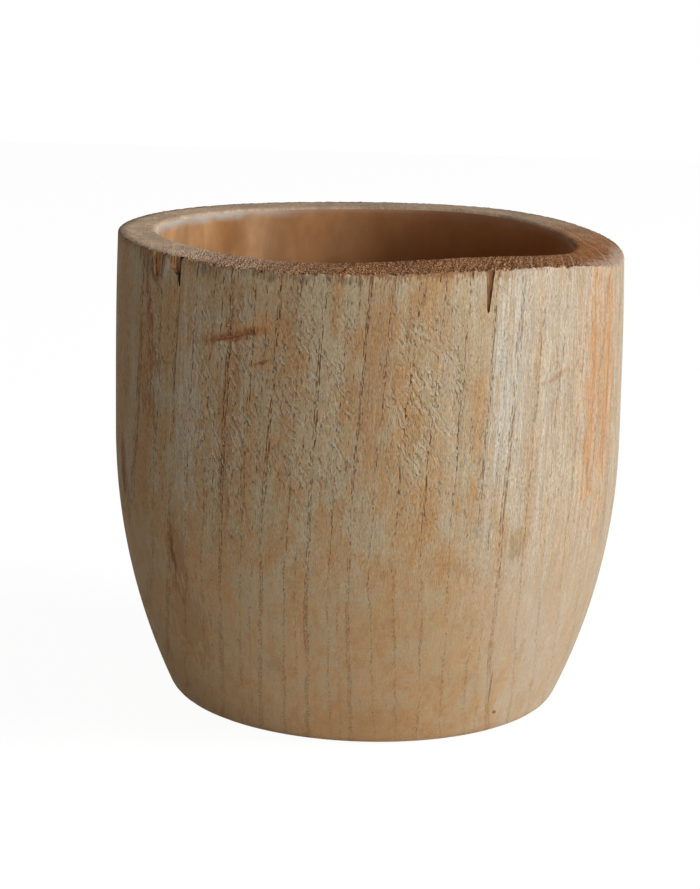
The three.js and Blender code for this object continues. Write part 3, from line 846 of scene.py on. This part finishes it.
past_mouth = from_bore > 1 + MOUTH_SHARE * MOUTH_ROUND / bore_radius
new_slots = np.where(high & past_edge & past_mouth, rim_slot, new_slots)
faces.foreach_set("material_index", np.where(slots == split_slot, split_slot, new_slots).astype(np.int32))
body.data.materials[0] = outer_wall
bpy.ops.object.select_all(action="DESELECT")
body.select_set(True)
bpy.context.view_layer.objects.active = body
bpy.ops.object.shade_smooth_by_angle(angle=math.radians(BODY_SMOOTH))
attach(body, "vase")
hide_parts("turned_body")

# Base disc. A turned wooden disc that closes the bored-through log, let into the foot from below and
# glued there. Its underside is cut from a flat board, with the turner's rings and centre mark.
DISC_RADIUS = 42.56 * MM
DISC_UNDER = 0.6 * MM
DISC_TOP = 9.6 * MM
DISC_CHAMFER = 0.8 * MM
CENTRE_MARK = 1.4 * MM
TOOL_RING, TOOL_DEPTH = 1.5 * MM, 0.07 * MM
DISC_TURNS, DISC_SMOOTH = 256, 30  # steps round the disc, and degrees below which an edge is smooth
DISC_TAN = (0.440, 0.290, 0.170, 1)
DISC_BROWN = (0.270, 0.155, 0.080, 1)
DISC_PITH = (18.0, -60.0)  # heart of the disc's own log beside and below it, in mm
DISC_RING_STEP, DISC_RING_SWAY, DISC_SWAY_SIZE = 2.6, 6.0, (60, 12, 12)
BOARD_FIBRE_SIZE, BOARD_PORE_SIZE = (14, 0.5, 0.5), (3.0, 0.3, 0.3)
tool_rings = int((DISC_RADIUS - DISC_CHAMFER - CENTRE_MARK) / TOOL_RING)
under = [(0, DISC_UNDER + CENTRE_MARK), (CENTRE_MARK, DISC_UNDER)]
for tool_ring in range(1, tool_rings):
    under.append((CENTRE_MARK + tool_ring * TOOL_RING, DISC_UNDER + TOOL_DEPTH * (tool_ring % 2)))
chamfer = [(DISC_RADIUS - DISC_CHAMFER, DISC_UNDER), (DISC_RADIUS, DISC_UNDER + DISC_CHAMFER)]
top = [(DISC_RADIUS, DISC_TOP), (0, DISC_TOP)]
disc = turn("base_board", under + chamfer + top, DISC_TURNS, closed=False)
move_points(disc, points_of(disc) + np.array((*BORE_CENTRE, 0)))

board_wood, place = surface("board_wood")
board_y, board_z = (wire("SeparateXYZ", {0: place["Spot"]}, axis) for axis in (1, 2))
heart_y, heart_z = (calc("SUBTRACT", part, at) for part, at in zip((board_y, board_z), DISC_PITH))
board_sway = cloud(place["Spot"], DISC_SWAY_SIZE)
from_heart = times_plus(board_sway, DISC_RING_SWAY, span(heart_y, heart_z))
board_ring = calc("FRACT", calc("DIVIDE", from_heart, DISC_RING_STEP))
board_fibre = cloud(place["Spot"], BOARD_FIBRE_SIZE, 3.0)
board_pore = ease(cloud(place["Spot"], BOARD_PORE_SIZE, 1.0), 0.62, 0.7)
colour = tint(ease(board_ring, 0.0, 0.9, 0.15, 0.75), DISC_TAN, DISC_BROWN)
colour = dim(colour, ease(board_fibre, 0.3, 0.7, 0.78, 1.15))
colour = tint(times(board_pore, 0.6), colour, PORE)
relief = times_plus(board_pore, -0.08, times(board_fibre, 0.10))
finish_material(board_wood, colour, ease(board_fibre, 0.3, 0.7, 0.6, 0.8), relief)
disc.data.materials.append(board_wood)
bpy.ops.object.shade_smooth_by_angle(angle=math.radians(DISC_SMOOTH))
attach(disc, "vase")
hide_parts("base_disc")

# Liner. A drop-in cup of tinned sheet that holds the water: a stamped floor, a tapered wall closed by a
# soldered lap seam, and a lip rolled outwards. It stands loose on the ledge at the bottom of the bore.
LINER_BOTTOM = 14.2 * MM
LINER_TOP = 105.3 * MM
LINER_FLAT = 37.6 * MM
LINER_CORNER = 5.5 * MM
LINER_MOUTH = 51.5 * MM
LINER_SHEET = 0.8 * MM
LIP_RADIUS = 2 * MM
STAMP_RADIUS, STAMP_RISE = 26 * MM, 0.6 * MM
SEAM_AT, SEAM_HALF_WIDTH, SEAM_PROUD = 62, 3.2 * MM, 0.35 * MM
LINER_TURNS, LINER_SMOOTH = 320, 30  # steps round the cup, and degrees below which an edge is smooth
SPANGLE_SIZE, SCRATCH_SIZE, STAIN_SIZE = 7, (6, 6, 0.4), (14, 14, 9)
TIN_GREY = (0.400, 0.415, 0.420, 1)
TIN_BRIGHT = (0.590, 0.605, 0.610, 1)
TIN_STAIN = (0.300, 0.270, 0.230, 1)
lip_height = LINER_TOP - LIP_RADIUS
stamped = [(0, STAMP_RISE), (STAMP_RADIUS - STAMP_RISE, STAMP_RISE), (STAMP_RADIUS, 0)]
underside = [(r, LINER_BOTTOM + rise) for r, rise in stamped]
inside = [(r, LINER_BOTTOM + LINER_SHEET + rise) for r, rise in reversed(stamped)]
corner_height = LINER_BOTTOM + LINER_CORNER
outer_corner = arc(LINER_FLAT, corner_height, LINER_CORNER, -90, 0, steps=8)
inner_corner = arc(LINER_FLAT, corner_height, LINER_CORNER - LINER_SHEET, 0, -90, steps=8)
lip = arc(LINER_MOUTH, lip_height, LIP_RADIUS, -90, 90, steps=16)
lip.append((LINER_MOUTH - LINER_SHEET, LINER_TOP - LINER_SHEET / 2))
cup = underside + outer_corner + line(outer_corner[-1], lip[0], steps=14) + lip[1:]
cup += line(lip[-1], inner_corner[0], steps=14) + inner_corner[1:] + inside
liner = turn("tin_liner", cup, LINER_TURNS, closed=False)
x, y, z = points_of(liner).T
out = np.hypot(x, y)
wall_at = LINER_FLAT + LINER_CORNER
wall_at = wall_at + (LINER_MOUTH - wall_at) * (z - corner_height) / (lip_height - LIP_RADIUS - corner_height)
on_seam = np.abs((np.arctan2(y, x) - math.radians(SEAM_AT)) * out) < SEAM_HALF_WIDTH
on_seam &= (out > wall_at - LINER_SHEET / 3) & (z > corner_height) & (z < lip_height - LIP_RADIUS)
grow = 1 + on_seam * SEAM_PROUD / np.maximum(out, LINER_FLAT)
move_points(liner, np.stack((x * grow + BORE_CENTRE[0], y * grow + BORE_CENTRE[1], z), axis=-1))

tinned_sheet, place = surface("tinned_sheet")
spangle_place = wire("VectorMath", {0: place["Spot"], "Scale": 1 / SPANGLE_SIZE}, operation="SCALE")
spangle = wire("TexVoronoi", {"Vector": spangle_place, "Scale": 1.0, "Randomness": 1.0}, "Color")
spangle = wire("SeparateColor", {0: spangle})
scratch = cloud(place["Spot"], SCRATCH_SIZE, 2.0)
stain = cloud(place["Spot"], STAIN_SIZE, 4.0)
stain = times(ease(stain, 0.45, 0.7), ease(place["Height"], 95, 20, 0.25, 0.85))
colour = tint(ease(spangle, 0.0, 1.0, 0.1, 0.9), TIN_GREY, TIN_BRIGHT)
colour = dim(colour, ease(scratch, 0.3, 0.7, 0.9, 1.06))
colour = tint(stain, colour, TIN_STAIN)
roughness = times_plus(stain, 0.25, ease(spangle, 0.0, 1.0, 0.34, 0.46))
finish_material(tinned_sheet, colour, roughness, times(scratch, 0.03), metallic=1.0)
liner.data.materials.append(tinned_sheet)
bpy.ops.object.shade_smooth_by_angle(angle=math.radians(LINER_SMOOTH))
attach(liner, "liner")
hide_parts("liner")

# Floor and light. A plain white floor that keeps the shadow and a white room, a large soft lamp from the
# right, and a weaker one low at the front, a little to the right.
FLOOR_SIZE = 3.0
FLOOR_GLOW = 0.95
FLOOR_SHADED, FLOOR_BOUNCE = (0.13, 0.13, 0.13, 1), (0.8, 0.8, 0.8, 1)  # as it is seen, and as it lights
ROOM_WHITE, ROOM_LIGHT = (1, 1, 1, 1), 0.13


def seen(tree):
    """1 for what the camera sees, also by way of gloss or glass, and 0 for what only lights the vase."""
    path = tree.nodes.new("ShaderNodeLightPath").outputs
    direct = calc("MAXIMUM", path["Is Camera Ray"], path["Is Glossy Ray"])
    return calc("MAXIMUM", direct, path["Is Transmission Ray"])


def lamp(name, from_front, elevation, distance, size, power):
    """A square soft lamp that looks at the middle of the vase."""
    aim = Vector((0, 0, HEIGHT / 2))
    turned, raised = math.radians(from_front), math.radians(elevation)
    level = math.cos(raised)
    way = Vector((math.sin(turned) * level, -math.cos(turned) * level, math.sin(raised)))
    bpy.ops.object.light_add(type="AREA", location=aim + way * distance)
    made = bpy.context.object
    made.name = name
    made.rotation_euler = way.to_track_quat("Z", "Y").to_euler()
    made.data.size = size
    made.data.energy = power


bpy.ops.object.select_all(action="DESELECT")
bpy.ops.mesh.primitive_plane_add(size=FLOOR_SIZE)
floor = bpy.context.object
floor.name = "floor"
floor_white = bpy.data.materials.new("floor_white")
floor_white.use_nodes = True
floor.data.materials.append(floor_white)
tree = floor_white.node_tree
floor_seen = seen(tree)
paint = tree.nodes["Principled BSDF"]
floor_colour = tint(floor_seen, FLOOR_BOUNCE, FLOOR_SHADED)
fill(paint, {"Base Color": floor_colour, "Roughness": 1.0, "Specular IOR Level": 0.0})
glow = wire("Emission", {"Strength": times(floor_seen, FLOOR_GLOW)})
both = wire("AddShader", {0: paint.outputs[0], 1: glow})
fill(tree.nodes["Material Output"], {"Surface": both})

world = bpy.data.worlds.new("studio")
bpy.context.scene.world = world
world.use_nodes = True
room = times_plus(seen(world.node_tree), 1 - ROOM_LIGHT, ROOM_LIGHT)
fill(world.node_tree.nodes["Background"], {"Color": ROOM_WHITE, "Strength": room})

lamp("window_light", from_front=78, elevation=28, distance=2.4, size=1.0, power=36)
lamp("room_light", from_front=22, elevation=2, distance=2.4, size=0.7, power=18)

# Camera. It stands a little above the rim, at the height, distance and tilt from which the vase shows as
# in the photograph. Its angles are in radians.
CAMERA_AT = (1.02 * MM, -764.32 * MM, 247.42 * MM)
CAMERA_YAW, CAMERA_PITCH, CAMERA_ROLL = -0.0078, -0.2215, 0.0292
FOCAL_PIXELS = 2590.12
IMAGE_HEIGHT = 889
camera_data = bpy.data.cameras.new("camera")
camera = bpy.data.objects.new("camera", camera_data)
bpy.context.scene.collection.objects.link(camera)
bpy.context.scene.camera = camera
camera_data.sensor_width = 36
camera_data.lens = FOCAL_PIXELS / IMAGE_HEIGHT * camera_data.sensor_width
ahead = math.cos(CAMERA_PITCH)
look = Vector((math.sin(CAMERA_YAW) * ahead, math.cos(CAMERA_YAW) * ahead, math.sin(CAMERA_PITCH)))
level = look.cross(Vector((0, 0, 1))).normalized()
upright = level.cross(look)
right = level * math.cos(CAMERA_ROLL) + upright * math.sin(CAMERA_ROLL)
upright = upright * math.cos(CAMERA_ROLL) - level * math.sin(CAMERA_ROLL)
camera.matrix_world = Matrix.Translation(CAMERA_AT) @ Matrix((right, upright, -look)).transposed().to_4x4()
camera_data.clip_start = 0.01

bpy.context.scene.view_settings.view_transform = "Standard"
